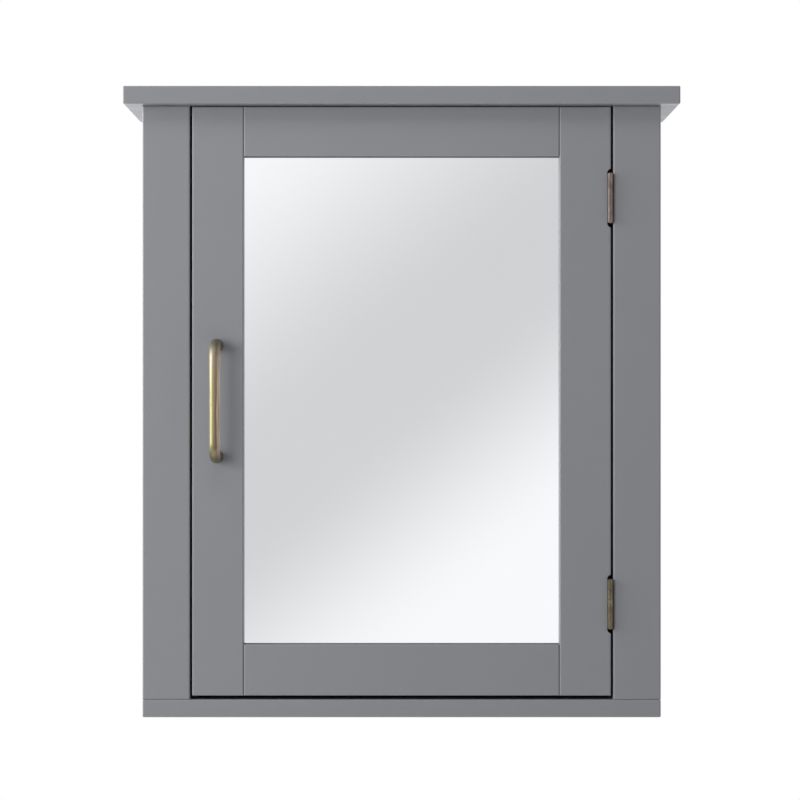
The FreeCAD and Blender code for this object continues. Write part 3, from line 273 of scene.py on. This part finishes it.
def handle_brass():
    """Antiqued brass bar with drawn streaks. Its colour goes from straw to olive, umber and rose
    across it, partly as painted light: a painted highlight down the left, painted shade lines, and
    the rose band a painted reflection. Paler towards its top, as a painted highlight. Darker and
    duller at its bends and feet, partly patina and partly painted shade where the ends turn from
    the light."""
    skin = Shader("handle_brass")
    low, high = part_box("handle")
    middle = (low.z + high.z) / 2
    half = (high.z - low.z) / 2
    streaks, mottle, relief = brass_grain(skin, 95.0)
    blotch = skin.noise(34.0, detail=3.0, place=skin.scaled((1.0, 1.0, 0.6)))
    across = skin.span(skin.axis("X"), 0.0, 1.0, low.x, high.x)
    strayed = skin.maths("ADD", across, skin.span(blotch, -0.05, 0.05, 0.3, 0.7))
    # painted light across the bar: the straw at the left is a painted highlight, the darkened
    # russet a painted shade line and the rose band a painted reflection, over the brass colour
    body = skin.ramp(strayed, [(0.0, STRAW), (0.2, OLD_GOLD), (0.38, GOLD), (0.5, BRONZE),
                               (0.58, RUSSET), (0.65, shade(RUSSET, 0.66)), (0.74, ROSE),
                               (0.81, shade(ROSE, 0.9)), (0.89, shade(ROSE, 0.5)),
                               (1.0, DULL_ROSE)])
    # painted highlight: the bar's upper part is mixed towards a pale pink-white; the same zone is
    # also made rougher further down
    top_highlight_zone = skin.span(skin.axis("Z"), 0.0, 0.55, middle + 0.012, middle + 0.045)
    with_top_highlight = skin.mixed(top_highlight_zone, body, PAINTED_TOP_HIGHLIGHT)
    worn = skin.mixed(skin.span(mottle, 0.0, 0.35, 0.4, 0.75), with_top_highlight, PATINA)
    fine = skin.mixed(skin.span(streaks, 0.0, 0.3, 0.42, 0.7), worn, UMBER)
    from_middle = skin.maths("ABSOLUTE", skin.maths("SUBTRACT", skin.axis("Z"), middle))
    at_ends = skin.span(from_middle, 0.0, 0.85, half - 0.020, half - 0.006)
    # darker at the bends and feet: partly patina, partly painted shade where the ends turn away
    # from the light
    colour = skin.mixed(at_ends, fine, DARK_OLIVE)
    dulled = skin.maths("ADD", skin.maths("MULTIPLY", at_ends, 0.12),
                        skin.maths("MULTIPLY", top_highlight_zone, 0.22))
    rough = skin.maths("ADD", skin.span(mottle, 0.4, 0.28, 0.3, 0.7), dulled)
    return skin.finish(colour, rough, relief, metallic=0.6)


def plated_steel():
    """Bright zinc plate with a cloudy grain."""
    skin = Shader("plated_steel")
    cloud = skin.noise(220.0, detail=5.0, roughness=0.65)
    colour = skin.ramp(cloud, [(0.3, (0.48, 0.49, 0.5)), (0.7, (0.68, 0.69, 0.7))])
    return skin.finish(colour, skin.span(cloud, 0.24, 0.4), skin.bump(cloud, 0.00003, 0.4),
                       metallic=1.0)


def beech():
    """Raw beech with short flecks along the grain."""
    skin = Shader("beech")
    grain = skin.noise(300.0, detail=5.0, place=skin.scaled((0.15, 1.0, 1.0)))
    colour = skin.ramp(grain, [(0.3, (0.5, 0.34, 0.19)), (0.7, (0.68, 0.5, 0.31))])
    return skin.finish(colour, skin.span(grain, 0.5, 0.65), skin.bump(grain, 0.0001, 0.5))


def moulded_plastic():
    """Grey moulded plastic with a fine spark-eroded grain."""
    skin = Shader("moulded_plastic")
    grain = skin.noise(1500.0, detail=2.0)
    colour = skin.ramp(skin.noise(30.0), [(0.3, shade(PAINT, 0.94)), (0.7, shade(PAINT, 1.02))])
    return skin.finish(colour, skin.span(grain, 0.42, 0.55), skin.bump(grain, 0.00004, 0.6))


def ferrite():
    """Sintered dark magnet with a gritty surface."""
    skin = Shader("ferrite")
    grit = skin.noise(900.0, detail=4.0, roughness=0.7)
    colour = skin.ramp(grit, [(0.3, (0.03, 0.03, 0.033)), (0.7, (0.075, 0.075, 0.08))])
    return skin.finish(colour, skin.span(grit, 0.5, 0.7), skin.bump(grit, 0.00005, 0.6))


brass_plate = hinge_brass()
slot_materials = {
    "grey_paint": grey_paint(),
    "back_hardboard": painted_back(),
    "backing_board": hardboard(),
    "mirror": mirror_silver(),
    "antique_brass": handle_brass(),
    "hinge_brass": brass_plate,
    "brass_screw": brass_plate,
    "zinc_steel": plated_steel(),
    "beech_dowel": beech(),
    "moulded_plastic": moulded_plastic(),
    "ferrite": ferrite(),
}


def dress_cad_nodes():
    # the door rails carry the painted shade on the lip round the mirror
    rail_paint_lip_shade = grey_paint("rail_paint_lip_shade", lip_painted_shade=True)
    for entry in frame["record"]["subparts"]:
        mesh = nodes[entry["node"]].data
        mesh.materials.clear()
        if entry["node"] in ("door_rail_top", "door_rail_bottom"):
            mesh.materials.append(rail_paint_lip_shade)
        else:
            mesh.materials.append(slot_materials[entry["material_slot"]])


dress_cad_nodes()

# ---------------------------------------------------------------- camera

SENSOR = 0.036
CAMERA_DISTANCE = 2.7  # from the cap's front edge
PICTURE_WIDTH = 0.8015  # what the picture spans in the plane of the cap's front edge
CAMERA_X = -0.0016
CAMERA_RISE = 0.0026  # above the cabinet's middle


def make_camera():
    data = bpy.data.cameras.new("camera")
    data.sensor_width = SENSOR * 1000
    data.lens = SENSOR * 1000 * CAMERA_DISTANCE / PICTURE_WIDTH
    data.clip_start, data.clip_end = 0.05, 60.0
    camera = bpy.data.objects.new("camera", data)
    scene.collection.objects.link(camera)
    camera.location = (CAMERA_X, cap_low.y - CAMERA_DISTANCE, middle_z + CAMERA_RISE)
    camera.rotation_euler = (math.pi / 2, 0.0, 0.0)
    scene.camera = camera
    return camera


camera = make_camera()

# ---------------------------------------------------------------- studio


ROOM_IN_FRONT = 0.15
ROOM_BEHIND = 1.4
ROOM_ON_LEFT = 1.35
ROOM_ON_RIGHT = 0.75
FLOOR_HALF = 7.0
FLOOR_DEPTH = 3.4  # below the cabinet's middle
CARD_HALF = 12.0
CARD_GAP = 4.25  # from the mirror to the card it reflects
CARD_WHITE = (0.98, 0.985, 1.0)
BAND_SLANT = math.radians(50)  # of the way across the band, down to the right
BAND_SHADE = 0.68
DIM_BAND = (-0.32, -0.05, 0.0, 0.2)  # starts, is full, starts to lift, ends; on the mirror


def card_glow(grow):
    """Light-giving white with one soft dim band slanting across it."""
    skin = Shader("card_glow")
    skin.tree.nodes.remove(skin.surface)
    glow = skin.node("ShaderNodeEmission")
    to_right = skin.maths("MULTIPLY", skin.axis("X"), math.cos(BAND_SLANT))
    up = skin.maths("MULTIPLY", skin.axis("Z"), math.sin(BAND_SLANT))
    falling = skin.maths("SUBTRACT", to_right, up)
    start, full, lifting, end = (place * grow for place in DIM_BAND)
    darkening = skin.span(falling, 0.0, 1.0, start, full, "SMOOTHSTEP")
    clearing = skin.span(falling, 0.0, 1.0, end, lifting, "SMOOTHSTEP")
    in_band = skin.maths("MULTIPLY", darkening, clearing)
    colour = skin.mixed(in_band, CARD_WHITE, shade(CARD_WHITE, BAND_SHADE))
    skin.feed(glow.inputs["Color"], colour)
    output = skin.tree.nodes["Material Output"]
    skin.feed(output.inputs["Surface"], glow.outputs[0])
    return skin.material


def panel(name, corners, material):
    mesh = bpy.data.meshes.new(name)
    mesh.from_pydata(corners, [], [range(len(corners))])
    made = bpy.data.objects.new(name, mesh)
    made.data.materials.append(material)
    scene.collection.objects.link(made)
    return made


def reflected_card():
    """A pale sheet far behind the camera, seen only in the mirror."""
    eye = camera.location
    eye_to_mirror = mirror_front - eye.y
    grow = (eye_to_mirror + CARD_GAP) / eye_to_mirror
    half = CARD_HALF
    corners = [(-half, 0, -half), (half, 0, -half), (half, 0, half), (-half, 0, half)]
    card = panel("reflected_card", corners, card_glow(grow))
    aim_x = eye.x + (mirror_middle.x - eye.x) * grow
    aim_z = eye.z + (mirror_middle.z - eye.z) * grow
    card.location = (aim_x, mirror_front - CARD_GAP, aim_z)
    card.visible_camera = False
    card.visible_diffuse = False
    card.visible_shadow = False
    only_mirror = bpy.data.collections.new("lit_by_card")
    only_mirror.objects.link(nodes["mirror_glass"])
    card.light_linking.receiver_collection = only_mirror


def area_light(name, place, target, size, power):
    data = bpy.data.lights.new(name, "AREA")
    data.shape = "RECTANGLE"
    data.size, data.size_y = size
    data.energy = power
    lamp = bpy.data.objects.new(name, data)
    lamp.location = place
    lamp.rotation_euler = (Vector(target) - Vector(place)).to_track_quat("-Z", "Y").to_euler()
    scene.collection.objects.link(lamp)
    return lamp


def studio_world():
    """Pure white behind the object. For everything else, a room that is dim in front, bright
    behind and a little brighter on the left."""
    world = bpy.data.worlds.new("studio")
    scene.world = world
    world.use_nodes = True
    tree = world.node_tree
    tree.nodes.clear()
    output = tree.nodes.new("ShaderNodeOutputWorld")
    mix = tree.nodes.new("ShaderNodeMixShader")
    seen = tree.nodes.new("ShaderNodeBackground")
    room = tree.nodes.new("ShaderNodeBackground")
    path = tree.nodes.new("ShaderNodeLightPath")
    place = tree.nodes.new("ShaderNodeTexCoord")
    split = tree.nodes.new("ShaderNodeSeparateXYZ")
    strength = tree.nodes.new("ShaderNodeMath")
    strength.operation = "MULTIPLY"
    seen.inputs["Color"].default_value = (1, 1, 1, 1)
    room.inputs["Color"].default_value = (0.985, 0.99, 1.0, 1)
    tree.links.new(place.outputs["Generated"], split.inputs[0])
    for number, letter, low, high, at_low, at_high in (
            (0, "Y", -0.25, 0.35, ROOM_IN_FRONT, ROOM_BEHIND),
            (1, "X", -0.5, 0.5, ROOM_ON_LEFT, ROOM_ON_RIGHT)):
        graded = tree.nodes.new("ShaderNodeMapRange")
        for name, value in (("From Min", low), ("From Max", high), ("To Min", at_low),
                            ("To Max", at_high)):
            graded.inputs[name].default_value = value
        tree.links.new(split.outputs[letter], graded.inputs["Value"])
        tree.links.new(graded.outputs["Result"], strength.inputs[number])
    tree.links.new(strength.outputs[0], room.inputs["Strength"])
    tree.links.new(path.outputs["Is Camera Ray"], mix.inputs["Fac"])
    tree.links.new(room.outputs[0], mix.inputs[1])
    tree.links.new(seen.outputs[0], mix.inputs[2])
    tree.links.new(mix.outputs[0], output.inputs["Surface"])


def pale_floor():
    """A pale floor far below, out of sight from the front."""
    skin = Shader("pale_floor")
    tone = skin.ramp(skin.noise(0.8), [(0.3, grey(0.88)), (0.7, grey(0.92))])
    half = FLOOR_HALF
    corners = [(-half, -half, 0), (half, -half, 0), (half, half, 0), (-half, half, 0)]
    floor = panel("pale_floor", corners, skin.finish(tone, 0.7))
    floor.location = (0, 0, middle_z - FLOOR_DEPTH)


def lamps():
    """Each lamp is placed from the middle of the door's front and turned to face it."""
    front = Vector((0, door_low.y, middle_z))
    key = area_light("key", front + Vector((-1.33, -1.8, 0.12)), front, (1.05, 1.3), 22.4)
    key.visible_glossy = False
    for name, offset, size, power in (
            ("side_left", (-2.6, -0.5, 0.6), (1.5, 1.6), 56),
            ("rim_left", (-2.6, 0.25, 0.1), (0.5, 1.6), 12),
            ("side_right", (1.5, -1.2, 0.1), (0.3, 1.4), 1.8),
            ("top", (-0.4, -1.15, 1.6), (1.6, 0.8), 8.6)):
        area_light(name, front + Vector(offset), front, size, power)


studio_world()
pale_floor()
reflected_card()
lamps()
scene.view_settings.view_transform = "Standard"
scene.view_settings.look = "None"
